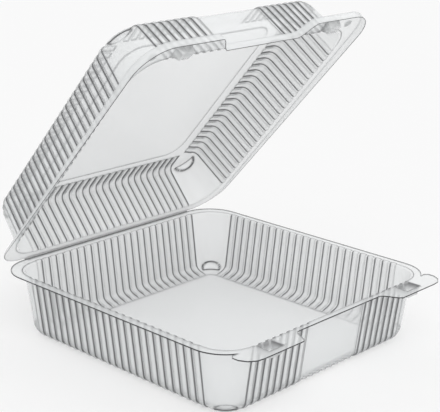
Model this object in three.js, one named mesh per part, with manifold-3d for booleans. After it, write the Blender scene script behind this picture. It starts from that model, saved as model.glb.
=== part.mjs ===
// Clear hinged food container, shown with its lid part open.
// One sheet of clear plastic is drawn into a fluted tray and a fluted lid, joined along a crease.
// The frame has +X along the front, +Y towards the hinge and +Z up.
// Its origin is on the tray's flat underside, midway along both rows of flutes.
import * as THREE from 'three';
import { mergeVertices } from 'three/addons/utils/BufferGeometryUtils.js';
import Module from 'manifold-3d';

const wasm = await Module();
wasm.setup();

// Sheet, heights and the lid's stored position, in millimetres and degrees
const sheet = 0.4;
const trayHeight = 46;
const lidHeight = 34;
const openAngle = 48.9;
const hingeGap = 0.3;
const creaseGap = 0.4;

// Flutes: wide ribs with narrow grooves between them, the same on both halves
const fluteCount = 24;
const pitchX = 6.4;
const pitchY = 6.59;
const fluteDepth = 1.2;
const grooveShare = 0.36;
const panelFrom = 8;
const panelTo = 17;
const fluteSpanX = pitchX * fluteCount / 2;
const fluteSpanY = pitchY * fluteCount / 2;

// Plain corner stretches past the flutes, up to the mouth of both halves
const sideMargin = 21.8;
const frontMargin = 23.82;
const backMargin = 21.72;
const hingeMargin = 29.32;
const mouthHalf = fluteSpanX + sideMargin;
const hingeY = fluteSpanY + hingeMargin;
const mouthFront = hingeY + fluteSpanY + frontMargin;
const mouthBack = hingeY - fluteSpanY - backMargin;
const trayDraft = 0.14;
const lidDraft = 0.145;
const cornerRelief = 0.2;
const cornerSteps = 7;

// The tray's rounded foot, where the flutes run out, with a dent low in each corner
const footRadius = 6.5;
const footTurn = 1.2;
const footReach = 10.8;
const footFlute = 1.6;
const cornerDent = 3;
const dentShare = 0.4;

// The lid's top edge, the ends of its flutes, and the plain raised panel they surround
const topRadius = 4;
const topInset = 1.6;
const topDrop = 1.4;
const fluteEndSide = fluteSpanX + 1.9;
const fluteEndInset = 22.7;
const fluteEndBack = mouthBack + fluteEndInset;
const panelInset = 10;
const panelInsetBack = 6.2;
const roofCorner = 15;

// Tray rim and the two locking tabs in front of it
const rimWidth = 5.8;
const rimFrontWidth = 3.7;
const rimHalf = mouthHalf + rimWidth;
const rimFront = mouthFront + rimFrontWidth;
const rimCorner = 25;
const rimEdge = 1;
const tabReach = 12.3;
const tabWidth = 57;
const tabSetback = 6.4;
const tabFront = rimFront + tabReach;
const tabOuterX = rimHalf - tabSetback;
const tabInnerX = tabOuterX - tabWidth;
const tabSlope = 9;
const tabCorner = 12;
const tabThickness = 0.8;
const tabRoot = 2.7;
const tabBite = 0.2;
const notchWidth = 7;
const notchDepth = 4.1;

// Lid flange with the skirt that closes over the rim
const flangeMargin = 1.4;
const lidHalf = rimHalf + flangeMargin;
const lidNarrow = rimFront + 1.6;
const lidWide = tabFront + 1.3;
const stepFrom = tabInnerX - 8;
const stepTo = tabInnerX + 4;
const lidCorner = 23;
const skirtFront = 5.2;
const skirtBack = 1.6;
const skirtStart = 30;
const skirtRise = 2;

// Snap bosses on the lid, their sockets in the tabs, and the round nubs
const snapInset = 29;
const snapX = tabOuterX - snapInset;
const snapFront = tabFront - 9.8;
const bossLength = 12;
const bossWidth = 8.6;
const bossHeight = 5;
const bossTaper = 0.8;
const snapClearance = 0.5;
const socketDepth = 6;
const nubInset = 13.7;
const nubX = rimHalf - nubInset;
const nubFront = rimFront;
const nubRadius = 3;
const nubHeight = 2;
const nubTaper = 0.6;

// Places along one wall, in flutes from its middle, and whether each lies in a groove.
function flutePlaces() {
  const places = [[0, true]];
  for (let rib = 0; rib < fluteCount; rib += 1) {
    places.push([rib + grooveShare / 2, false]);
    places.push([rib + 1 - grooveShare / 2, false]);
    places.push([rib + 1, true]);
  }
  return places.map(([place, groove]) => [place - fluteCount / 2, groove]);
}

const places = flutePlaces();

// One closed loop of points round the container, in distances from the hinge line.
// The walls run as straight sides with flutes, and each corner is a round arc.
function loop(spec) {
  const { half, front, back, depth = 0, radius, height, grooveLift = 0, dent = 0 } = spec;
  const spanX = Math.min(fluteSpanX, half - radius);
  const room = (front - back) / 2 - radius;
  const spanY = Math.min(fluteSpanY, room);
  const middle = room < fluteSpanY ? (front + back) / 2 : hingeY;
  const points = [];
  const add = (x, v, grooved) => {
    points.push([x, v, height(v) + (grooved ? grooveLift : 0)]);
  };
  const recessed = (place, groove) => {
    const fromLeft = fluteCount / 2 + place * spec.leftward;
    const onPanel = fromLeft > panelFrom && fromLeft < panelTo;
    return groove || (onPanel && !spec.panelFlutes);
  };
  const corner = (signX, signV, fromAngle) => {
    const edge = signV > 0 ? front - depth : back + depth;
    const centreX = signX * (half - depth - radius);
    const centreV = edge - signV * radius;
    for (let step = 0; step < cornerSteps; step += 1) {
      const share = step / (cornerSteps - 1);
      const angle = fromAngle - share * Math.PI / 2;
      const inner = Math.abs(share - 0.5) < dentShare ? dent : 0;
      const reach = radius - inner;
      add(centreX + reach * Math.cos(angle), centreV + reach * Math.sin(angle), true);
    }
  };
  const frontEdge = spec.frontEdge ?? (() => front);
  for (const [place, groove] of places) {
    const x = place * pitchX * spanX / fluteSpanX;
    const isGroove = recessed(place, groove);
    add(x, frontEdge(x) - (isGroove ? depth : 0), isGroove);
  }
  corner(1, 1, Math.PI / 2);
  for (const [place, groove] of places) {
    const v = middle - place * pitchY * spanY / fluteSpanY;
    add(half - (groove ? depth : 0), v, groove);
  }
  corner(1, -1, 0);
  for (const [place, groove] of places) {
    const x = -place * pitchX * spanX / fluteSpanX;
    add(x, back + (groove ? depth : 0), groove);
  }
  corner(-1, -1, -Math.PI / 2);
  for (const [place, groove] of places) {
    const v = middle + place * pitchY * spanY / fluteSpanY;
    add(-half + (groove ? depth : 0), v, groove);
  }
  corner(-1, 1, Math.PI);
  return points;
}

// A closed shell from loops that run from the inner floor over the rim to the outer floor.
// The points are in the half's own frame: x, distance from the hinge line, and height.
function shell(loops) {
  const count = loops[0].length;
  const positions = loops.flat(2);
  const centre = (points) => {
    const v = (Math.max(...points.map((p) => p[1])) + Math.min(...points.map((p) => p[1]))) / 2;
    return [0, v, points[0][2]];
  };
  const first = positions.length / 3;
  positions.push(...centre(loops[0]), ...centre(loops.at(-1)));
  const index = [];
  for (let i = 0; i < count; i += 1) {
    const next = (i + 1) % count;
    index.push(first, next, i);
    for (let ring = 0; ring + 1 < loops.length; ring += 1) {
      const a = ring * count;
      const b = a + count;
      index.push(a + i, b + next, b + i, a + i, a + next, b + next);
    }
    const last = (loops.length - 1) * count;
    index.push(first + 1, last + i, last + next);
  }
  const geometry = new THREE.BufferGeometry();
  geometry.setAttribute('position', new THREE.Float32BufferAttribute(positions, 3));
  geometry.setIndex(index);
  return geometry;
}

function toSolid(geometry) {
  const bare = geometry.clone();
  bare.deleteAttribute('normal');
  bare.deleteAttribute('uv');
  const merged = mergeVertices(bare, 1e-4);
  const vertProperties = new Float32Array(merged.attributes.position.array);
  const triVerts = new Uint32Array(merged.index.array);
  return new wasm.Manifold(new wasm.Mesh({ numProp: 3, vertProperties, triVerts }));
}

function toGeometry(solid) {
  const mesh = solid.getMesh();
  const geometry = new THREE.BufferGeometry();
  geometry.setAttribute('position', new THREE.BufferAttribute(mesh.vertProperties, 3));
  geometry.setIndex(new THREE.BufferAttribute(mesh.triVerts, 1));
  geometry.computeVertexNormals();
  return geometry;
}

// Wall loops of one half, from its closed end up to the mouth, on one skin of the sheet.
function wallLoops(depthOfHalf, draft, skin, closedEnd, leftward) {
  const wall = (drop) => ({
    half: mouthHalf - draft * drop - skin,
    front: mouthFront - draft * drop - skin,
    back: mouthBack + draft * drop + skin,
    depth: fluteDepth,
    leftward,
  });
  const cornerOf = (spec) => Math.min(
    spec.half - fluteSpanX,
    spec.front - hingeY - fluteSpanY,
    hingeY - fluteSpanY - spec.back,
  ) - spec.depth - cornerRelief;
  const loopAt = (drop, extra = {}) => {
    const spec = { ...wall(drop), height: () => -drop, ...extra };
    return loop({ radius: cornerOf(spec), ...spec });
  };
  const ends = closedEnd(wall, cornerOf, skin, depthOfHalf);
  return [...ends, loopAt(skin > 0 ? 0 : sheet)];
}

// The tray's foot: a round edge where the flutes run out into the flat floor.
function trayFoot(wall, cornerOf, skin, depth) {
  const bend = Math.cos(Math.PI / 4);
  const low = wall(depth - footRadius * (1 - bend));
  const inset = footRadius * (1 - bend) * footTurn;
  const middle = {
    half: low.half - inset,
    front: low.front - inset,
    back: low.back + inset,
    depth: footFlute,
    panelFlutes: true,
    dent: cornerDent,
    leftward: low.leftward,
    height: () => -depth + footRadius * (1 - bend) + skin * bend,
  };
  const flat = wall(depth);
  const floor = {
    half: flat.half - footReach,
    front: flat.front - footReach,
    back: flat.back + footReach,
    depth: 0,
    height: () => -depth + skin,
  };
  const top = { ...wall(depth - footRadius), height: () => footRadius - depth };
  return [floor, middle, top].map((spec) => loop({ radius: cornerOf(spec), ...spec }));
}

// The lid's top: flutes turn over a round edge, run a little way in and end round a plain panel.
function lidTop(wall, cornerOf, skin, depth) {
  const turn = wall(depth - topRadius);
  const edge = {
    half: turn.half - topInset,
    front: turn.front - topInset,
    back: turn.back + topInset,
    depth: fluteDepth,
    leftward: turn.leftward,
    grooveLift: fluteDepth / 2,
    height: () => -depth + topDrop + skin,
  };
  const ribEnd = {
    half: fluteEndSide,
    front: mouthFront + mouthBack - fluteEndBack,
    back: fluteEndBack,
    grooveLift: fluteDepth,
    radius: fluteEndSide - fluteSpanX,
    panelFlutes: true,
    height: () => -depth + skin,
  };
  const roof = {
    half: fluteEndSide - panelInset,
    front: mouthFront + mouthBack - fluteEndBack - panelInsetBack,
    back: fluteEndBack + panelInsetBack,
    radius: roofCorner,
    height: () => -depth + fluteDepth + skin,
  };
  return [loop(roof), loop(ribEnd), loop({ radius: cornerOf(edge), ...edge })];
}

// A box with its far end along Z drawn in on every side, from level start to level end.
function taperedBox(lengthX, lengthV, start, end, taper, x, v) {
  const geometry = new THREE.BoxGeometry(lengthX, lengthV, Math.abs(end - start));
  const corners = geometry.attributes.position;
  const farSign = Math.sign(end - start);
  for (let i = 0; i < corners.count; i += 1) {
    if (Math.sign(corners.getZ(i)) === farSign) {
      corners.setX(i, corners.getX(i) - Math.sign(corners.getX(i)) * taper);
      corners.setY(i, corners.getY(i) - Math.sign(corners.getY(i)) * taper);
    }
  }
  return geometry.translate(x, v, (start + end) / 2);
}

function nubCone(radius, top, bottom, x) {
  const height = top - bottom;
  return new THREE.CylinderGeometry(radius, radius * nubTaper, height, 16)
    .rotateX(Math.PI / 2)
    .translate(x, nubFront, (top + bottom) / 2);
}

// One locking tab, drawn in x and distance from the hinge, for the right-hand side.
function tabShape() {
  const shape = new THREE.Shape();
  const inside = rimFront - tabRoot;
  const notchFront = rimFront - notchDepth;
  const notchX = tabOuterX - notchWidth;
  shape.moveTo(tabInnerX, inside);
  shape.lineTo(tabInnerX, rimFront - tabBite);
  shape.bezierCurveTo(
    tabInnerX + tabSlope / 2, rimFront,
    tabInnerX + tabSlope / 2, tabFront,
    tabInnerX + tabSlope, tabFront,
  );
  shape.lineTo(tabOuterX - tabCorner, tabFront);
  shape.absarc(tabOuterX - tabCorner, tabFront - tabCorner, tabCorner, Math.PI / 2, 0, true);
  shape.quadraticCurveTo(tabOuterX, notchFront, notchX, notchFront);
  shape.lineTo(notchX - notchDepth, inside);
  shape.closePath();
  return shape;
}

function tab(side) {
  const geometry = new THREE.ExtrudeGeometry(tabShape(), {
    depth: tabThickness,
    bevelEnabled: false,
    curveSegments: 8,
  });
  geometry.translate(0, 0, -tabThickness);
  return side > 0 ? geometry : geometry.rotateY(Math.PI).translate(0, 0, -tabThickness);
}

function traySolid() {
  const rim = (level) => loop({
    half: rimHalf,
    front: rimFront,
    back: creaseGap / 2,
    radius: rimCorner,
    height: () => level,
  });
  let solid = toSolid(shell([
    ...wallLoops(trayHeight, trayDraft, sheet, trayFoot, -1),
    rim(0),
    rim(-rimEdge),
    ...wallLoops(trayHeight, trayDraft, 0, trayFoot, -1).reverse(),
  ]));
  for (const side of [-1, 1]) {
    const length = bossLength + 2 * snapClearance;
    const width = bossWidth + 2 * snapClearance;
    const wallLength = length + 2 * sheet;
    const wallWidth = width + 2 * sheet;
    const x = side * snapX;
    const outer = taperedBox(wallLength, wallWidth, -sheet / 2, -socketDepth, bossTaper, x, snapFront);
    const inner = taperedBox(length, width, sheet, sheet - socketDepth, bossTaper, x, snapFront);
    solid = solid.add(toSolid(tab(side))).add(toSolid(outer)).subtract(toSolid(inner));
  }
  return solid;
}

function lidSolid() {
  const frontEdge = (x) => {
    const share = THREE.MathUtils.smoothstep(Math.abs(x), stepFrom, stepTo);
    return lidNarrow + (lidWide - lidNarrow) * share;
  };
  const skirt = (v) => {
    const share = THREE.MathUtils.clamp((v - skirtStart) / (lidNarrow - skirtStart), 0, 1);
    const depth = skirtBack + (skirtFront - skirtBack) * share;
    return depth * THREE.MathUtils.smoothstep(v, skirtRise, skirtStart);
  };
  const level = -hingeGap / 2;
  const flange = (skin, height) => loop({
    half: lidHalf - skin,
    front: lidWide - skin,
    frontEdge: (x) => frontEdge(x) - skin,
    back: creaseGap / 2 + skin,
    radius: lidCorner,
    height,
  });
  const lower = ([x, v, z]) => [x, v, z + level];
  const inside = wallLoops(lidHeight, lidDraft, sheet, lidTop, 1);
  const outside = wallLoops(lidHeight, lidDraft, 0, lidTop, 1).reverse();
  let solid = toSolid(shell([
    ...inside.map((points) => points.map(lower)),
    flange(sheet, () => level),
    flange(sheet, (v) => level + skirt(v)),
    flange(0, (v) => level + skirt(v)),
    flange(0, () => level - sheet),
    ...outside.map((points) => points.map(lower)),
  ]));
  for (const side of [-1, 1]) {
    const x = side * snapX;
    const back = level - sheet;
    const boss = taperedBox(bossLength, bossWidth, back + sheet / 2, bossHeight, bossTaper, x, snapFront);
    const hollow = taperedBox(bossLength - 2 * sheet, bossWidth - 2 * sheet,
      back - sheet, bossHeight - sheet, bossTaper, x, snapFront);
    const nub = nubCone(nubRadius + sheet, back + sheet / 2, back - nubHeight, side * nubX);
    const bowl = nubCone(nubRadius, level + sheet, back - nubHeight + sheet, side * nubX);
    solid = solid.add(toSolid(boss)).subtract(toSolid(hollow));
    solid = solid.add(toSolid(nub)).subtract(toSolid(bowl));
  }
  return solid;
}

const clearPlastic = new THREE.MeshStandardMaterial({
  color: 0xe6eef0,
  roughness: 0.08,
  metalness: 0,
  transparent: true,
  opacity: 0.35,
});

const container = new THREE.Group();
container.name = 'hinged_container';

// Both halves are drawn mouth up behind the hinge line, as they lie when opened flat.
const tray = new THREE.Mesh(toGeometry(traySolid()), clearPlastic);
tray.name = 'tray';
tray.rotation.z = Math.PI;
tray.position.set(0, hingeY, trayHeight);
container.add(tray);

const lid = new THREE.Mesh(toGeometry(lidSolid()), clearPlastic.clone());
lid.name = 'lid';
lid.position.set(0, hingeY, trayHeight + hingeGap / 2);
lid.rotation.x = THREE.MathUtils.degToRad(180 - openAngle);
container.add(lid);

export default container;
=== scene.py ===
import math

import bpy
import numpy as np
from mathutils import Matrix, Vector


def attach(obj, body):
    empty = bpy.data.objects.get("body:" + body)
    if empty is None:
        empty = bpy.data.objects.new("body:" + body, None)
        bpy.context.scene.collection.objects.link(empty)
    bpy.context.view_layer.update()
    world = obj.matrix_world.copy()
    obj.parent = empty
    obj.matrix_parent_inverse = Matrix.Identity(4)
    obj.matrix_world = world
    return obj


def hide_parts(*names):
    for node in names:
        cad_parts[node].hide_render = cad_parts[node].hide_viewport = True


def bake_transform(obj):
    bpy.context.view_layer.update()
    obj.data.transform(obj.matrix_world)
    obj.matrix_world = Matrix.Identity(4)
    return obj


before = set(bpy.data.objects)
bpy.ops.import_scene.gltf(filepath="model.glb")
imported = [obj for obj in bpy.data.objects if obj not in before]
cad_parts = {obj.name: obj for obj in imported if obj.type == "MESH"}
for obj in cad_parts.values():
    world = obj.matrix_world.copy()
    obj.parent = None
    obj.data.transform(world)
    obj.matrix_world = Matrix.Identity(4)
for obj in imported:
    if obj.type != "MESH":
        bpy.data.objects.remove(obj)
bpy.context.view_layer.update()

# Tray
# The lower half of one sheet of clear plastic, drawn hot into a mould: fluted walls, a round foot,
# a flat floor, and a flat rim whose front carries two locking tabs, each with a blind socket.
SHEET = 0.4
TRAY_HEIGHT = 46.0
FLUTE_COUNT = 24
PITCH_X = 6.4
PITCH_Y = 6.59
SPAN_X = PITCH_X * FLUTE_COUNT / 2
SPAN_Y = PITCH_Y * FLUTE_COUNT / 2
SIDE_MARGIN = 21.8
HINGE_MARGIN = 29.32
FRONT_MARGIN = 23.82
BACK_MARGIN = 21.72
MOUTH_HALF = SPAN_X + SIDE_MARGIN
HINGE_Y = SPAN_Y + HINGE_MARGIN
MOUTH_FRONT = HINGE_Y + SPAN_Y + FRONT_MARGIN
MOUTH_BACK = HINGE_Y - SPAN_Y - BACK_MARGIN
PLACES_IN_FLUTE = (0, 0.1, 0.14, 0.18, 0.22, 0.5, 0.78, 0.82, 0.86, 0.9)
CORNER_PLACES = 24


def smooth(value, low, high):
    """An S-shaped step from 0 at low to 1 at high: 3t^2 - 2t^3 of the clipped share t."""
    share = np.clip((value - low) / (high - low), 0, 1)
    return share * share * (3 - 2 * share)


def columns():
    """The columns of one half, clockwise from the left end of its front: a side number from 0 to 3,
    the place along that side in flutes from its middle, and the share of the way round a corner,
    which is -1 on a side."""
    whole = np.arange(FLUTE_COUNT)[:, None] - FLUTE_COUNT / 2
    along = np.append((whole + np.array(PLACES_IN_FLUTE)[None, :]).ravel(), FLUTE_COUNT / 2)
    round_corner = (np.arange(CORNER_PLACES) + 0.5) / CORNER_PLACES
    side = np.repeat(np.arange(4), len(along) + CORNER_PLACES)
    place = np.tile(np.concatenate([along, np.zeros(CORNER_PLACES)]), 4)
    share = np.tile(np.concatenate([-np.ones(len(along)), round_corner]), 4)
    return side, place, share


SIDE, PLACE, SHARE = columns()
ON_SIDE = SHARE < 0
PANEL_FROM = 8
PANEL_TO = 17
PANEL_EDGE = 0.3


def front_panel(leftward, margin=0.0):
    """True for the columns of the front's plain panel, less a margin in flutes at each end."""
    from_left = FLUTE_COUNT / 2 + PLACE * leftward
    return (SIDE == 0) & ON_SIDE & (from_left > PANEL_FROM + margin) & (from_left < PANEL_TO - margin)


FLUTE_DEPTH = 1.2
FLANK_FROM = 0.11
FLANK_TO = 0.21
RIB_CROWN = 0.12
LOBE_CROWN = 0.9


def grooves(leftward, plain_panel, lobe=0.0):
    """How far each column is drawn in, from 0 on a rib to 1 in a groove: an S-shaped step over the
    distance to the nearest whole place, on a crown that a lobe from 0 to 1 makes rounder. Corners
    and the front's plain panel are all groove."""
    near = np.abs(PLACE - np.round(PLACE))
    drawn_in = 1 - smooth(near, FLANK_FROM, FLANK_TO)
    roundness = RIB_CROWN + LOBE_CROWN * np.atleast_1d(lobe)[:, None]
    crown = roundness * ((0.5 - near) / 0.5) ** 2
    panel = front_panel(leftward)[None, :]
    drawn_in = np.maximum(drawn_in[None, :], crown) * np.ones((len(plain_panel), 1))
    drawn_in = np.where(panel, np.maximum(drawn_in, plain_panel[:, None]), drawn_in)
    return np.where(ON_SIDE[None, :], drawn_in, 1.0)


# Painted shade along each groove's flanks: where it peaks and how fast it fades.
FLANK_SHADE_AT = 0.165
FLANK_SHADE_FADE = 0.04


def flank_shade():
    """Painted shade: 1 on the flanks of a groove, where the sheet turns on edge, falling off as a bell
    curve.
    """
    near = np.abs(PLACE - np.round(PLACE))
    edge = np.exp(-((near - FLANK_SHADE_AT) / FLANK_SHADE_FADE) ** 2)
    return np.where(ON_SIDE, edge, 0.0)


def ring(half, front, back, radius, depth, drawn_in, dent=0.0, front_edge=None):
    """Points of closed loops, one row for each entry of half: straight sides less depth times
    drawn_in, and quarter circles of the radius at groove level between them. A row of flutes that
    is short of room is squeezed about the loop's own middle."""
    half, front, back, radius, depth = (
        np.atleast_1d(np.asarray(value, float))[:, None]
        for value in (half, front, back, radius, depth)
    )
    span_x = np.minimum(SPAN_X, half - radius) / SPAN_X * PITCH_X
    room = (front - back) / 2 - radius
    span_y = np.minimum(SPAN_Y, room) / SPAN_Y * PITCH_Y
    middle = np.where(room < SPAN_Y, (front + back) / 2, HINGE_Y)
    sunk = depth * drawn_in
    across = PLACE[None, :] * span_x
    along = PLACE[None, :] * span_y
    edge = front if front_edge is None else front_edge(across)
    x = np.choose(SIDE[None, :], [across, half - sunk, -across, sunk - half])
    v = np.choose(SIDE[None, :], [edge - sunk, middle - along, back + sunk, middle + along])
    turn = math.pi / 2 * (1 - SIDE - SHARE)[None, :]
    sign_x = np.where(SIDE < 2, 1, -1)[None, :]
    sign_v = np.where((SIDE == 0) | (SIDE == 3), 1, -1)[None, :]
    reach = radius - dent
    corner_x = sign_x * (half - depth - radius) + reach * np.cos(turn)
    corner_edge = np.where(sign_v > 0, front - depth, back + depth)
    corner_v = corner_edge - sign_v * radius + reach * np.sin(turn)
    on_side = ON_SIDE[None, :]
    return np.where(on_side, x, corner_x), np.where(on_side, v, corner_v)


CORNER_RELIEF = 0.2


def corner_radius(half, front, back, depth):
    """The corner radius that leaves every flute straight on rows of these sizes."""
    spare = np.minimum(half - SPAN_X, np.minimum(front - HINGE_Y, HINGE_Y - back) - SPAN_Y)
    return spare - depth - CORNER_RELIEF


DENT_DEPTH = 2.2
DENT_SHARE = 0.42
DENT_RISE = 5.8
DENT_LOW = 2.2
DENT_FLOOR_SHARE = 0.82
DENT_CHORD_FROM = -0.6
DENT_CHORD_TO = 0.4


def half_moon(level, low, upward):
    """A corner's half-moon dent, which stands on the level low: how far each point lies from its
    middle as a share of its size, its height above the chord, and 1 inside it falling to 0 outside."""
    across = (SHARE[None, :] - 0.5) / DENT_SHARE
    rise = (level[:, None] - low) * upward
    reach = np.hypot(across, rise / DENT_RISE)
    inside = (1 - smooth(reach, DENT_FLOOR_SHARE, 1.0)) * smooth(rise, DENT_CHORD_FROM, DENT_CHORD_TO)
    return reach, rise, np.where(ON_SIDE[None, :], 0.0, inside)


# Painted shade along each half-moon dent's outline: where it lies and how fast it fades.
DENT_SHADE_AT = 0.92
DENT_SHADE_FADE = 0.07
CHORD_SHADE_FADE = 0.5
ARC_FROM = -0.3
CHORD_REACH = 0.95


def half_moon_shade(level, low, upward):
    """Painted shade: 1 along the outline of the half-moon dent, fading within a millimetre to each
    side.
    """
    reach, rise, _ = half_moon(level, low, upward)
    arc = np.exp(-((reach - DENT_SHADE_AT) / DENT_SHADE_FADE) ** 2) * (rise > ARC_FROM)
    chord = np.exp(-(rise / CHORD_SHADE_FADE) ** 2) * (reach < CHORD_REACH)
    return np.where(ON_SIDE[None, :], 0.0, np.maximum(arc, chord))


def between(start, end, shares):
    """Rows between two rings, straight from start to end at each share."""
    shares = np.asarray(shares)[:, None]
    return tuple((1 - shares) * a + shares * b for a, b in zip(start, end))


def grid_faces(count, across, joined):
    """Four-cornered faces between count rows of across points, over this many joined columns. With
    all columns joined the last one meets the first."""
    row, col = np.meshgrid(np.arange(count - 1), np.arange(joined), indexing="ij")
    first = (row * across + col).ravel()
    second = (row * across + (col + 1) % across).ravel()
    return np.stack([first, second, second + across, first + across], axis=-1)


def piece_of(name, points, faces, shade_values, rounded=True):
    """A piece of these points in mm, which each carry a painted shade: 1 on edge, 0 where the sheet is
    plain.
    """
    mesh = bpy.data.meshes.new(name)
    mesh.from_pydata((points / 1000).tolist(), [], faces)
    mesh.polygons.foreach_set("use_smooth", np.full(len(mesh.polygons), rounded))
    shade_layer = mesh.attributes.new("painted_edge_shade", "FLOAT", "POINT")
    shade_layer.data.foreach_set("value", shade_values.astype(np.float32))
    piece = bpy.data.objects.new(name, mesh)
    bpy.context.collection.objects.link(piece)
    return piece


def sheet_mesh(name, rows, shade_values, centre, place_points):
    """The sheet's food side: the rows joined in order, and the first row to a fan at the centre."""
    x, v, z = (np.concatenate(parts) for parts in zip(*rows))
    count, across = x.shape
    points = np.stack([x, v, z], axis=-1).reshape(-1, 3)
    points = np.vstack([points, [centre]])
    cols = np.arange(across)
    fan = np.stack([np.full(across, count * across), (cols + 1) % across, cols], axis=-1)
    faces = fan.tolist() + grid_faces(count, across, across).tolist()
    return piece_of(name, place_points(points), faces, np.append(shade_values.ravel(), 0))


WELD_WITHIN = 0.02


def weld(piece):
    """Merges points that coincide, as the rows do where the sheet doesn't step."""
    merge = piece.modifiers.new("weld", "WELD")
    merge.merge_threshold = WELD_WITHIN / 1000


def thicken(piece, gauge, offset):
    """Gives the face its gauge in mm: behind it at an offset of -1, half to each side at 0."""
    solid = piece.modifiers.new("gauge", "SOLIDIFY")
    solid.thickness = gauge / 1000
    solid.offset = offset


ROUGHNESS = 0.2
REFRACTION = 1.5
PLAIN_COLOUR = (0.93, 0.945, 0.95, 1)
# Painted shade: the edge colour and density darken the clear sheet and make it more opaque where it
# turns on edge.
EDGE_SHADE_COLOUR = (0.03, 0.03, 0.035, 1)
PLAIN_DENSITY = 0.34
EDGE_SHADE_DENSITY = 0.95


def clear_sheet(name):
    """Clear glossy plastic: nearly colourless, with a painted shade that makes it darker and denser
    where the sheet stands on edge.
    """
    material = bpy.data.materials.new(name)
    material.use_nodes = True
    nodes, links = material.node_tree.nodes, material.node_tree.links
    shader = nodes["Principled BSDF"]
    shader.inputs["Roughness"].default_value = ROUGHNESS
    shader.inputs["IOR"].default_value = REFRACTION
    shade_layer = nodes.new("ShaderNodeAttribute")
    shade_layer.attribute_name = "painted_edge_shade"
    colour = nodes.new("ShaderNodeValToRGB")
    colour.color_ramp.elements[0].color = PLAIN_COLOUR
    colour.color_ramp.elements[1].color = EDGE_SHADE_COLOUR
    links.new(shade_layer.outputs["Fac"], colour.inputs["Fac"])
    links.new(colour.outputs["Color"], shader.inputs["Base Color"])
    density = nodes.new("ShaderNodeMapRange")
    density.inputs["To Min"].default_value = PLAIN_DENSITY
    density.inputs["To Max"].default_value = EDGE_SHADE_DENSITY
    links.new(shade_layer.outputs["Fac"], density.inputs["Value"])
    links.new(density.outputs["Result"], shader.inputs["Alpha"])
    return material


def tray_place(points):
    """From the half's own frame to the row frame: turned half round, with its rim on top."""
    return np.stack([-points[:, 0], HINGE_Y - points[:, 1], points[:, 2] + TRAY_HEIGHT], axis=-1)


TRAY_DRAFT = 0.14
ROW_END = 0.2


def tray_wall(height, inset, depth, plain_panel, lobe=0.0, lift=0.0):
    """Rows of the tray's inner face at these heights above the floor's underside. The lift raises
    the grooves, but not the corners nor the ends of a row of flutes."""
    drop = TRAY_HEIGHT - height
    half = MOUTH_HALF - TRAY_DRAFT * drop - SHEET - inset
    front = MOUTH_FRONT - TRAY_DRAFT * drop - SHEET - inset
    back = MOUTH_BACK + TRAY_DRAFT * drop + SHEET + inset
    radius = corner_radius(half, front, back, depth)
    dent = DENT_DEPTH * half_moon(height, DENT_LOW, 1)[2]
    drawn_in = grooves(-1, plain_panel, lobe)
    x, v = ring(half, front, back, radius, depth, drawn_in, dent)
    raised = np.where(ON_SIDE, smooth(FLUTE_COUNT / 2 - np.abs(PLACE), 0.0, ROW_END), 0.0)
    return x, v, np.atleast_1d(lift)[:, None] * drawn_in * raised[None, :] - drop[:, None]


CREASE_GAP = 0.4
RIM_WIDTH = 5.8
RIM_FRONT_WIDTH = 3.7
RIM_HALF = MOUTH_HALF + RIM_WIDTH
RIM_FRONT = MOUTH_FRONT + RIM_FRONT_WIDTH
RIM_CORNER = 25.0
TAB_REACH = 12.3
TAB_SETBACK = 6.4
TAB_WIDTH = 57.0
TAB_FRONT = RIM_FRONT + TAB_REACH
TAB_OUTER_X = RIM_HALF - TAB_SETBACK
TAB_INNER_X = TAB_OUTER_X - TAB_WIDTH
TAB_SLOPE = 9.0
TAB_CORNER = 12.0
TAB_STRAIGHT_SHARE = 0.25
TAB_BEND_SHARE = 0.45
TAB_HOOK_FROM = 0.7
TAB_HOOK_SHARE = 0.3
NOTCH_WIDTH = 7.0
NOTCH_DEPTH = 4.1
NOTCH_X = TAB_OUTER_X - NOTCH_WIDTH
NOTCH_FRONT = RIM_FRONT - NOTCH_DEPTH


def tray_tab_outline(rim_x, rim_v):
    """The rim's edge with both tabs added: an S-curve out to the tab's front, along it, round its
    corner and back into the notch. Columns keep their order, so the sheet doesn't fold."""
    side = np.sign(rim_x)
    x = np.abs(rim_x)
    in_tab = (x > TAB_INNER_X) & (x < NOTCH_X) & (rim_v > HINGE_Y)
    bend_x = TAB_OUTER_X - TAB_CORNER
    bend_start = RIM_HALF - RIM_CORNER
    rise = smooth(x, TAB_INNER_X, TAB_INNER_X + TAB_SLOPE)
    straight_v = RIM_FRONT + (TAB_FRONT - RIM_FRONT) * rise
    past = np.clip((x - bend_start) / (NOTCH_X - bend_start), 0, 1)
    to_bend = np.clip(past / TAB_STRAIGHT_SHARE, 0, 1)
    arc = np.clip((past - TAB_STRAIGHT_SHARE) / TAB_BEND_SHARE, 0, 1) * math.pi / 2
    hook = np.clip((past - TAB_HOOK_FROM) / TAB_HOOK_SHARE, 0, 1)
    outer_x = bend_start + (bend_x - bend_start) * to_bend + TAB_CORNER * np.sin(arc)
    outer_v = TAB_FRONT - TAB_CORNER * (1 - np.cos(arc))
    hook_x = (1 - hook ** 2) * TAB_OUTER_X + hook ** 2 * NOTCH_X
    hook_v = (1 - hook) ** 2 * (TAB_FRONT - TAB_CORNER) + (1 - (1 - hook) ** 2) * NOTCH_FRONT
    tab_x = np.where(x < bend_start, x, np.where(hook > 0, hook_x, outer_x))
    tab_v = np.where(x < bend_start, straight_v, np.where(hook > 0, hook_v, outer_v))
    return np.where(in_tab, side * tab_x, rim_x), np.where(in_tab, tab_v, rim_v)


SNAP_INSET = 29.0
SNAP_SETBACK = 9.8
SNAP_X = TAB_OUTER_X - SNAP_INSET
SNAP_FRONT = TAB_FRONT - SNAP_SETBACK
SNAP_TAPER = 0.8


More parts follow.
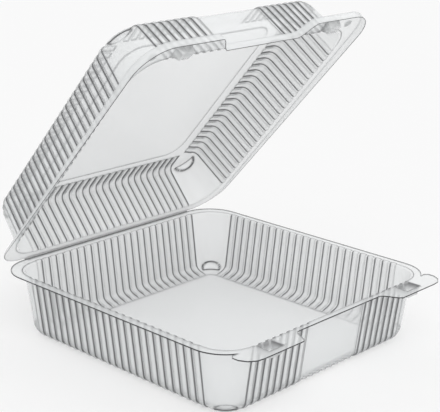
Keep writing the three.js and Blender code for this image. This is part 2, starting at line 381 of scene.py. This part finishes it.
def press(x, v, length, width, depth):
    """A blind pocket with tapered walls: the depth times a straight ramp across each wall."""
    out_x = np.abs(np.abs(x) - SNAP_X)
    out_v = np.abs(v - SNAP_FRONT)
    inside_x = 1 - np.clip((out_x - length / 2 + SNAP_TAPER) / SNAP_TAPER, 0, 1)
    inside_v = 1 - np.clip((out_v - width / 2 + SNAP_TAPER) / SNAP_TAPER, 0, 1)
    return depth * np.minimum(inside_x, inside_v)


# How fast the painted shade round a pocket's rim fades.
POCKET_SHADE_FADE = 0.45


def pocket_shade(x, v, length, width):
    """Painted shade: 1 along the rim of a pocket, fading within half a millimetre to each side."""
    out_x = np.abs(np.abs(x) - SNAP_X) - length / 2
    out_v = np.abs(v - SNAP_FRONT) - width / 2
    return np.exp(-(np.maximum(out_x, out_v) / POCKET_SHADE_FADE) ** 2)


# The rows of the food side: the flat floor, the round foot, the wall, the round lip, then the
# flat rim with its tabs and sockets, and the rim's outer edge.
FOOT_RADIUS = 6.5
FOOT_FLUTE = 0.5
FOOT_REACH = 10.8
FOOT_ROWS = 12
GROOVES_FULL_AT = 0.25
DEEP_GROOVES_TO = 0.5
PANEL_STARTS_AT = 0.45
LOBES_TO = 0.6
MOUTH_FILLET = 1.2
LIP_LOSS = 0.2
RIM_EDGE = 0.7
RIM_EDGE_ROUND = 0.25
SOCKET_LENGTH = 13.0
SOCKET_WIDTH = 9.6
SOCKET_DEPTH = 5.6
foot = np.linspace(0, 1, FOOT_ROWS)
floor_inset = np.array([1.5, 0.5])
flat_floor = 0 * floor_inset
floor_rows = tray_wall(SHEET + flat_floor, FOOT_REACH + floor_inset, flat_floor, flat_floor)
foot_heights = SHEET + (FOOT_RADIUS - SHEET) * foot ** 2
foot_slant = np.hypot(foot, 1 - foot)
foot_extra = FOOT_FLUTE * (1 - smooth(foot, DEEP_GROOVES_TO, 1))
foot_depth = (FLUTE_DEPTH + foot_extra) * smooth(foot, 0, GROOVES_FULL_AT)
foot_rows = tray_wall(
    foot_heights,
    FOOT_REACH * (1 - foot) ** 2,
    foot_depth * foot / foot_slant,
    smooth(foot, PANEL_STARTS_AT, LOBES_TO),
    1 - smooth(foot, LOBES_TO, 1),
    foot_depth * (1 - foot) / foot_slant,
)
wall = np.array([6.9, 7.3, 7.7, 8.2, 9, 12, 20, 30, 40, TRAY_HEIGHT - MOUTH_FILLET])
wall_rows = tray_wall(wall, 0 * wall, FLUTE_DEPTH + 0 * wall, 1 + 0 * wall)
lip = np.array([0.3, 0.6, 0.85, 1.0])
lip_rows = tray_wall(
    TRAY_HEIGHT - MOUTH_FILLET * (1 - lip) ** 2,
    -MOUTH_FILLET * lip ** 2,
    FLUTE_DEPTH * (1 - LIP_LOSS * lip),
    1 + 0 * lip,
)
rim_x, rim_v = ring(RIM_HALF, RIM_FRONT, CREASE_GAP / 2, RIM_CORNER, 0, grooves(-1, np.ones(1)))
tab_x, tab_v = tray_tab_outline(rim_x, rim_v)
mouth_edge = (lip_rows[0][-1:], lip_rows[1][-1:])
rim_shares = [0.12, 0.3, 0.5, 0.88, 1]
tab_shares = [0.2, 0.4, 0.52, 0.57, 0.62, 0.75, 0.88, 0.97, 1]
flat_x, flat_v = (
    np.concatenate(parts)
    for parts in zip(
        between(mouth_edge, (rim_x, rim_v), rim_shares),
        between((rim_x, rim_v), (tab_x, tab_v), tab_shares),
    )
)
flat_z = -press(flat_x, flat_v, SOCKET_LENGTH, SOCKET_WIDTH, SOCKET_DEPTH)
edge_rows = (
    np.repeat(tab_x, 2, axis=0),
    np.repeat(tab_v, 2, axis=0),
    np.array([-RIM_EDGE_ROUND, -RIM_EDGE])[:, None] * np.ones_like(tab_x),
)
tray_rows = [floor_rows, foot_rows, wall_rows, lip_rows, (flat_x, flat_v, flat_z), edge_rows]

# How much painted shade each row shows: groove flanks and dents, then the floor's outline, the
# mouth, the sockets, and the rim's outer edge.
FLOOR_SHADE = 0.5
MOUTH_SHADE = 0.9
SOCKET_SHADE = 0.8
CREASE_FOLD_SHADE = 0.6
OUTER_EDGE_SHADE = 1
TAB_APART = 0.1
tray_shade = np.zeros((sum(len(rows[0]) for rows in tray_rows), len(PLACE)))
floor_to = len(floor_inset)
panel_from_row = floor_to + len(foot) // 2
fluted = floor_to + len(foot) + len(wall) + len(lip)
rim_row = fluted + len(rim_shares) - 1
outer_edge = slice(-3, None)
heights = np.concatenate([flat_floor, foot_heights, wall, TRAY_HEIGHT + 0 * lip])
tray_shade[:fluted] = np.maximum(flank_shade()[None, :], half_moon_shade(heights, DENT_LOW, 1))
tray_shade[panel_from_row:fluted, front_panel(-1, PANEL_EDGE)] = 0
tray_shade[:floor_to] = 0
tray_shade[floor_to] = FLOOR_SHADE
tray_shade[fluted - 1] = MOUTH_SHADE
tray_shade[fluted:-2] = SOCKET_SHADE * pocket_shade(flat_x, flat_v, SOCKET_LENGTH, SOCKET_WIDTH)
no_tab = np.hypot(tab_x - rim_x, tab_v - rim_v)[0] < TAB_APART
tray_shade[rim_row:, no_tab] = OUTER_EDGE_SHADE
tray_shade[outer_edge] = OUTER_EDGE_SHADE
along_crease = (SIDE == 2) & ON_SIDE
tray_shade[rim_row - 1, along_crease] = CREASE_FOLD_SHADE
tray_middle = [0, (MOUTH_FRONT + MOUTH_BACK) / 2, SHEET - TRAY_HEIGHT]
tray_sheet = sheet_mesh("tray_sheet", tray_rows, tray_shade, tray_middle, tray_place)
weld(tray_sheet)
thicken(tray_sheet, SHEET, -1)
tray_sheet.data.materials.append(clear_sheet("tray_clear"))
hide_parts("tray")
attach(tray_sheet, "tray")

# Lid
# The upper half of the same sheet of clear plastic, drawn in the same mould and folded over at the
# crease. Its flutes turn over the top edge and end round a plain raised panel, and its flange
# carries a skirt, two snap bosses and two nubs.
LID_HEIGHT = 34.0
LID_DRAFT = 0.145
OPEN_ANGLE = 48.9
HINGE_GAP = 0.3
LID_LEVEL = -HINGE_GAP / 2
TURN_RADIUS = 5.5
TURN_ROWS = 9
TURN_LOBES_FROM = 0.3
FLUTE_END_MARGIN = 1.9
FLUTE_END_INSET = 22.7
FLUTE_END_RISE = 1.4
FLUTE_END_SIDE = SPAN_X + FLUTE_END_MARGIN
FLUTE_END_BACK = MOUTH_BACK + FLUTE_END_INSET
PANEL_INSET = 10.0
PANEL_INSET_BACK = 6.2
ROOF_CORNER = 15.0
PANEL_STEP = 0.5
DENT_HIGH = 31.6
FLANGE_MARGIN = 1.4
FLANGE_MARGIN_FRONT = 1.6
FLANGE_MARGIN_TABS = 1.3
STEP_BEFORE_TAB = 8
STEP_INTO_TAB = 4
FLANGE_ROUND = 0.8
LID_HALF = RIM_HALF + FLANGE_MARGIN
LID_NARROW = RIM_FRONT + FLANGE_MARGIN_FRONT
LID_WIDE = TAB_FRONT + FLANGE_MARGIN_TABS
STEP_FROM = TAB_INNER_X - STEP_BEFORE_TAB
STEP_TO = TAB_INNER_X + STEP_INTO_TAB
LID_CORNER = 23.0
SKIRT_FRONT = 5.2
SKIRT_BACK = 1.6
SKIRT_START = 30.0
SKIRT_RISE = 2.0
SKIRT_ROUND_OUT = (0.7, 1.0)
SKIRT_ROUND_DOWN = (0.3, 0.8)
SKIRT_ROUND_SHARE = 0.3
SKIRT_FOLD_SHARE = 0.9
BOSS_LENGTH = 12.0
BOSS_WIDTH = 8.6
BOSS_HEIGHT = 5.0


def lid_place(points):
    """From the half's own frame to the row frame: swung about the crease to the stored angle."""
    swing = math.radians(180 - OPEN_ANGLE)
    v, z = points[:, 1], points[:, 2]
    return np.stack(
        [
            points[:, 0],
            HINGE_Y + v * math.cos(swing) - z * math.sin(swing),
            TRAY_HEIGHT + HINGE_GAP / 2 + v * math.sin(swing) + z * math.cos(swing),
        ],
        axis=-1,
    )


def lid_wall(height, inset, sink, lift, dent, lobe=0.0):
    """Rows of the lid's inner face at these heights above its mouth. Grooves go in sideways by sink
    and towards the mouth by lift, both in mm, and the dent is how far corners are pressed in."""
    half = MOUTH_HALF - LID_DRAFT * height - SHEET - inset
    front = MOUTH_FRONT - LID_DRAFT * height - SHEET - inset
    back = MOUTH_BACK + LID_DRAFT * height + SHEET + inset
    radius = corner_radius(half, front, back, sink)
    drawn_in = grooves(1, np.ones(len(height)), lobe)
    x, v = ring(half, front, back, radius, sink, drawn_in, dent)
    return x, v, LID_LEVEL - height[:, None] + lift[:, None] * drawn_in


def lid_front_edge(x):
    """The flange's front edge: narrow in the middle, and stepped out over each tab."""
    return LID_NARROW + (LID_WIDE - LID_NARROW) * smooth(np.abs(x), STEP_FROM, STEP_TO)


def skirt_depth(v):
    """The skirt grows from nothing at the crease to its full depth at the front."""
    share = np.clip((v - SKIRT_START) / (LID_NARROW - SKIRT_START), 0, 1)
    return (SKIRT_BACK + (SKIRT_FRONT - SKIRT_BACK) * share) * smooth(v, SKIRT_RISE, SKIRT_START)


# The rows of the food side: the raised panel, the rib ends round it, the turn over the top edge,
# the wall, the round lip, the flat flange with its bosses, and the skirt.
roof = LID_HEIGHT - SHEET
both_ends = MOUTH_FRONT + MOUTH_BACK
step = np.array([2.0, 1.1, 0.5, 0.0, -0.8])
roof_half = FLUTE_END_SIDE - PANEL_INSET - step
roof_back = FLUTE_END_BACK + PANEL_INSET_BACK + step
roof_x, roof_v = ring(
    roof_half, both_ends - roof_back, roof_back, ROOF_CORNER - step, 0 * step, grooves(1, 0 * step)
)
panel_share = np.array([1, 1, 0.5, 0, 0])
roof_level = LID_LEVEL - roof + FLUTE_DEPTH + PANEL_STEP * panel_share
roof_rows = (roof_x, roof_v, roof_level[:, None] * np.ones_like(roof_x))
end = np.array([-0.8, 0.0, 0.35, 0.7, 1.1, 1.6])
end_half = FLUTE_END_SIDE + end
end_back = FLUTE_END_BACK - end
end_x, end_v = ring(
    end_half, both_ends - end_back, end_back, FLUTE_END_MARGIN + end, 0 * end, grooves(1, 0 * end)
)
end_rise = smooth(end, 0, FLUTE_END_RISE)[:, None]
end_level = LID_LEVEL - roof + FLUTE_DEPTH * (1 - end_rise * (1 - grooves(1, 0 * end)))
end_rows = (end_x, end_v, end_level)
turn = np.linspace(0, 1, TURN_ROWS)
slant = np.hypot(turn, 1 - turn)
turn_height = roof - (TURN_RADIUS - SHEET) * turn ** 2
turn_rows = lid_wall(
    turn_height,
    TURN_RADIUS * (1 - turn) ** 2,
    FLUTE_DEPTH * turn / slant,
    FLUTE_DEPTH * (1 - turn) / slant,
    DENT_DEPTH * half_moon(turn_height, DENT_HIGH, -1)[2],
    smooth(turn, 0, TURN_LOBES_FROM) * (1 - smooth(turn, LOBES_TO, 1)),
)
lid_heights = np.array([27.4, 26.9, 26.4, 25.9, 25.4, 24, MOUTH_FILLET])
side_rows = lid_wall(
    lid_heights,
    0 * lid_heights,
    FLUTE_DEPTH + 0 * lid_heights,
    0 * lid_heights,
    DENT_DEPTH * half_moon(lid_heights, DENT_HIGH, -1)[2],
)
lid_lip_rows = lid_wall(
    MOUTH_FILLET * (1 - lip) ** 2,
    -MOUTH_FILLET * lip ** 2,
    FLUTE_DEPTH * (1 - LIP_LOSS * lip),
    0 * lip,
    0.0,
)


def flange_ring(inset):
    """The flange's outline, drawn in by inset."""
    return ring(
        LID_HALF - inset,
        LID_WIDE - inset,
        CREASE_GAP / 2 + inset,
        LID_CORNER - inset,
        0,
        grooves(1, np.ones(1)),
        front_edge=lambda x: lid_front_edge(x) - inset,
    )


inner_edge = flange_ring(SHEET + FLANGE_ROUND)
skirt_edge = flange_ring(SHEET)
lid_mouth_edge = (lid_lip_rows[0][-1:], lid_lip_rows[1][-1:])
flange_shares = [0.05, 0.1, 0.16, 0.3, 0.52, 0.57, 0.62, 0.67, 0.8, 0.92, 1]
flange_x, flange_v = between(lid_mouth_edge, inner_edge, flange_shares)
flange_z = LID_LEVEL + press(flange_x, flange_v, BOSS_LENGTH, BOSS_WIDTH, BOSS_HEIGHT)
skirt = skirt_depth(skirt_edge[1])
round_x, round_v = between(inner_edge, skirt_edge, SKIRT_ROUND_OUT)
round_down = np.array(SKIRT_ROUND_DOWN)[:, None]
round_z = np.minimum(round_down, skirt * SKIRT_ROUND_SHARE * round_down)
skirt_rows = (
    np.vstack([round_x, skirt_edge[0], skirt_edge[0]]),
    np.vstack([round_v, skirt_edge[1], skirt_edge[1]]),
    LID_LEVEL + np.vstack([round_z, skirt * SKIRT_FOLD_SHARE, skirt]),
)
lid_rows = [
    roof_rows,
    end_rows,
    turn_rows,
    side_rows,
    lid_lip_rows,
    (flange_x, flange_v, flange_z),
    skirt_rows,
]

# How much painted shade each row shows: the panel's outline, groove flanks, dents and rib ends,
# then the mouth, the bosses, the fold of the skirt and its lower edge.
PANEL_SHADE = 0.9
BOSS_SHADE = 0.6
SKIRT_FOLD_SHADE = 0.35
panel_outline = slice(1, 3)
skirt_fold = -4
skirt_lower_edge = -1
lid_sizes = [len(rows[0]) for rows in lid_rows]
lid_shade = np.zeros((sum(lid_sizes), len(PLACE)))
lid_shade[panel_outline] = PANEL_SHADE
fluted_from = lid_sizes[0]
fluted_to = sum(lid_sizes[:5])
rib_ends = slice(fluted_from + 2, fluted_from + 4)
lid_depths = np.concatenate([LID_HEIGHT + 0 * end, turn_height, lid_heights, 0 * lip])
lid_dent_shade = half_moon_shade(lid_depths, DENT_HIGH, -1)
lid_shade[fluted_from:fluted_to] = np.maximum(flank_shade()[None, :], lid_dent_shade)
rib_end_shade = np.where(ON_SIDE, 1 - grooves(1, np.zeros(1))[0], 0)
lid_shade[rib_ends] = np.maximum(flank_shade(), rib_end_shade)[None, :]
lid_shade[fluted_from:fluted_to, front_panel(1, PANEL_EDGE)] = 0
lid_shade[fluted_from:fluted_from + 2] = 0
lid_shade[fluted_to - 1] = MOUTH_SHADE
flange_to = fluted_to + len(flange_x)
boss_rim_shade = pocket_shade(flange_x, flange_v, BOSS_LENGTH, BOSS_WIDTH)
lid_shade[fluted_to:flange_to] = BOSS_SHADE * boss_rim_shade
lid_shade[flange_to - 2, along_crease] = CREASE_FOLD_SHADE
lid_shade[skirt_fold] = SKIRT_FOLD_SHADE
lid_shade[skirt_lower_edge] = OUTER_EDGE_SHADE
lid_middle = [0, both_ends / 2, roof_level[0]]
lid_sheet = sheet_mesh("lid_sheet", lid_rows, lid_shade, lid_middle, lid_place)
weld(lid_sheet)
thicken(lid_sheet, SHEET, -1)
lid_sheet.data.materials.append(clear_sheet("lid_clear"))
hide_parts("lid")
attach(lid_sheet, "lid")

# Nubs
# Two small round domes pressed outwards into the lid's flange beside the snap bosses, of the same
# sheet, so that packs spread a little when they are stacked shut.
NUB_INSET = 13.7
NUB_X = RIM_HALF - NUB_INSET
NUB_RADIUS = 3.0
NUB_HEIGHT = 2.0
NUB_SEAT = 0.02
NUB_ROUNDNESS = 0.6
NUB_TURNS = 32
NUB_REACH = (0.0, 0.35, 0.6, 0.8, 0.92, 1.0, 1.0)
# Painted shade round each dome, for each row of NUB_REACH: none on top, darkest at its foot.
NUB_SHADE = (0, 0, 0, 0, 0.2, 0.6, 0.6)


def nub_dome(x):
    """A closed cap: its height falls from the top by a cosine of the distance from its axis, and a
    short skirt carries it down into the flange."""
    reach = np.array(NUB_REACH)[:, None]
    turn_at = np.linspace(0, 2 * math.pi, NUB_TURNS, endpoint=False)[None, :]
    rise = np.cos(reach[:, 0] * math.pi / 2) ** NUB_ROUNDNESS
    outward = LID_LEVEL - SHEET - NUB_SEAT - NUB_HEIGHT * rise
    outward[-1] = LID_LEVEL - SHEET / 2
    points_x = x + NUB_RADIUS * reach * np.cos(turn_at)
    points_v = RIM_FRONT + NUB_RADIUS * reach * np.sin(turn_at)
    points_z = outward[:, None] * np.ones_like(points_x)
    return np.stack([points_x, points_v, points_z], axis=-1)


def nub_mesh(name, x):
    """The dome's rows joined round its axis, with its underside closed by one flat face."""
    grid = nub_dome(x)
    count = len(grid)
    outward_faces = grid_faces(count, NUB_TURNS, NUB_TURNS)[:, [0, 3, 2, 1]].tolist()
    base = ((count - 1) * NUB_TURNS + np.arange(NUB_TURNS)).tolist()
    points = lid_place(grid.reshape(-1, 3))
    piece = piece_of(name, points, outward_faces + [base], np.repeat(NUB_SHADE, NUB_TURNS))
    weld(piece)
    piece.data.materials.append(lid_sheet.data.materials[0])
    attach(piece, "lid")


nub_mesh("nub_right", NUB_X)
nub_mesh("nub_left", -NUB_X)

# Crease
# The fold between tray and lid, which is the hinge: a strip of the same clear sheet, pressed thin
# along the back of both rims when the pack is formed.
CREASE_HALF = RIM_HALF - RIM_CORNER
CREASE_GAUGE = 0.25
CREASE_STEPS = 9
CREASE_LENGTHS = 81
# An even painted shade over the whole crease strip.
CREASE_STRIP_SHADE = 0.4


def crease_strip():
    """A ribbon along X whose section is a half circle from the rim's back edge to the flange's."""
    tray_edge = np.array([HINGE_Y - CREASE_GAP / 2, TRAY_HEIGHT - SHEET / 2])
    lid_edge = lid_place(np.array([[0, CREASE_GAP / 2, LID_LEVEL - SHEET / 2]]))[0, 1:]
    middle = (tray_edge + lid_edge) / 2
    reach = (lid_edge - tray_edge) / 2
    outward = np.array([reach[1], -reach[0]])
    turn_at = np.linspace(0, math.pi, CREASE_STEPS)[:, None]
    section = middle - reach * np.cos(turn_at) + outward * np.sin(turn_at)
    x = np.linspace(-CREASE_HALF, CREASE_HALF, CREASE_LENGTHS)
    points = np.empty((CREASE_STEPS, CREASE_LENGTHS, 3))
    points[..., 0] = x[None, :]
    points[..., 1:] = section[:, None, :]
    return points, tray_edge, lid_edge


strip, tray_edge, lid_edge = crease_strip()
strip_faces = grid_faces(CREASE_STEPS, CREASE_LENGTHS, CREASE_LENGTHS - 1).tolist()
strip_shade = np.full(CREASE_STEPS * CREASE_LENGTHS, CREASE_STRIP_SHADE)
crease = piece_of("crease", strip.reshape(-1, 3), strip_faces, strip_shade, rounded=False)
thicken(crease, CREASE_GAUGE, 0)
crease.data.materials.append(tray_sheet.data.materials[0])
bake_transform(crease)

# Floor, light and camera
# A plain pale floor just under the tray, soft light from three far, wide lamps and a white sky,
# and the photograph's camera. Lengths here are in metres, but the lens and its sensor in mm.
FLOOR_SIZE = 24.0
FLOOR_LEVEL = -0.0003
FLOOR_COLOUR = (0.9, 0.9, 0.9, 1)
FLOOR_ROUGHNESS = 0.9
FLOOR_SHINE = 0.1
WHITE_SHARE = 0.5
SKY_COLOUR = (1, 1, 1, 1)
SKY_LIGHT = 0.5
SKY_SEEN = 1.0
CAMERA_AT = Vector((-0.5816, -0.5511, 0.3424))
CAMERA_BACK = Vector((-0.6939, -0.6553, 0.2984))
CAMERA_RIGHT = Vector((0.6895, -0.7242, 0.0131))
LENS = 102.6
SENSOR = 36
SEEN_TO = 60

floor_mesh = bpy.data.meshes.new("floor")
corner = FLOOR_SIZE / 2
ground = [(x * corner, y * corner, FLOOR_LEVEL) for x, y in ((-1, -1), (1, -1), (1, 1), (-1, 1))]
floor_mesh.from_pydata(ground, [], [(0, 1, 2, 3)])
floor = bpy.data.objects.new("floor", floor_mesh)
bpy.context.collection.objects.link(floor)


def white_ground(name):
    """Pale matt ground that keeps soft shadows, and of which a share glows white to the camera."""
    material = bpy.data.materials.new(name)
    material.use_nodes = True
    nodes, links = material.node_tree.nodes, material.node_tree.links
    shader = nodes["Principled BSDF"]
    shader.inputs["Base Color"].default_value = FLOOR_COLOUR
    shader.inputs["Roughness"].default_value = FLOOR_ROUGHNESS
    shader.inputs["Specular IOR Level"].default_value = FLOOR_SHINE
    glow = nodes.new("ShaderNodeEmission")
    rays = nodes.new("ShaderNodeLightPath")
    white_share = nodes.new("ShaderNodeMath")
    white_share.operation = "MULTIPLY"
    white_share.inputs[1].default_value = WHITE_SHARE
    mix = nodes.new("ShaderNodeMixShader")
    links.new(rays.outputs["Is Camera Ray"], white_share.inputs[0])
    links.new(white_share.outputs["Value"], mix.inputs["Fac"])
    links.new(shader.outputs["BSDF"], mix.inputs[1])
    links.new(glow.outputs["Emission"], mix.inputs[2])
    links.new(mix.outputs["Shader"], nodes["Material Output"].inputs["Surface"])
    return material


floor_mesh.materials.append(white_ground("floor_white"))


def soft_lamp(name, at, spread, strength):
    """A far lamp in the direction at, which looks this many degrees wide from the part."""
    lamp = bpy.data.lights.new(name, "SUN")
    lamp.angle = math.radians(spread)
    lamp.energy = strength
    holder = bpy.data.objects.new(name, lamp)
    holder.rotation_euler = (Vector(at) * -1).to_track_quat("-Z", "Y").to_euler()
    bpy.context.collection.objects.link(holder)


soft_lamp("key_lamp", (-1.0, -1.2, 1.8), 50, 1.25)
soft_lamp("fill_lamp", (1.6, -0.6, 1.4), 60, 0.6)
soft_lamp("back_lamp", (0.3, 1.8, 1.6), 60, 0.4)

world = bpy.data.worlds.new("studio")
world.use_nodes = True
bpy.context.scene.world = world
sky = world.node_tree.nodes["Background"]
sky.inputs["Color"].default_value = SKY_COLOUR
rays = world.node_tree.nodes.new("ShaderNodeLightPath")
strength = world.node_tree.nodes.new("ShaderNodeMapRange")
strength.inputs["To Min"].default_value = SKY_LIGHT
strength.inputs["To Max"].default_value = SKY_SEEN
world.node_tree.links.new(rays.outputs["Is Camera Ray"], strength.inputs["Value"])
world.node_tree.links.new(strength.outputs["Result"], sky.inputs["Strength"])

camera_data = bpy.data.cameras.new("camera")
camera_data.lens = LENS
camera_data.sensor_width = SENSOR
camera_data.clip_end = SEEN_TO
camera = bpy.data.objects.new("camera", camera_data)
up = CAMERA_BACK.cross(CAMERA_RIGHT).normalized()
right = up.cross(CAMERA_BACK).normalized()
facing = Matrix((right, up, CAMERA_BACK)).transposed().to_4x4()
camera.matrix_world = Matrix.Translation(CAMERA_AT) @ facing
bpy.context.collection.objects.link(camera)
bpy.context.scene.camera = camera
bpy.context.scene.view_settings.view_transform = "Standard"
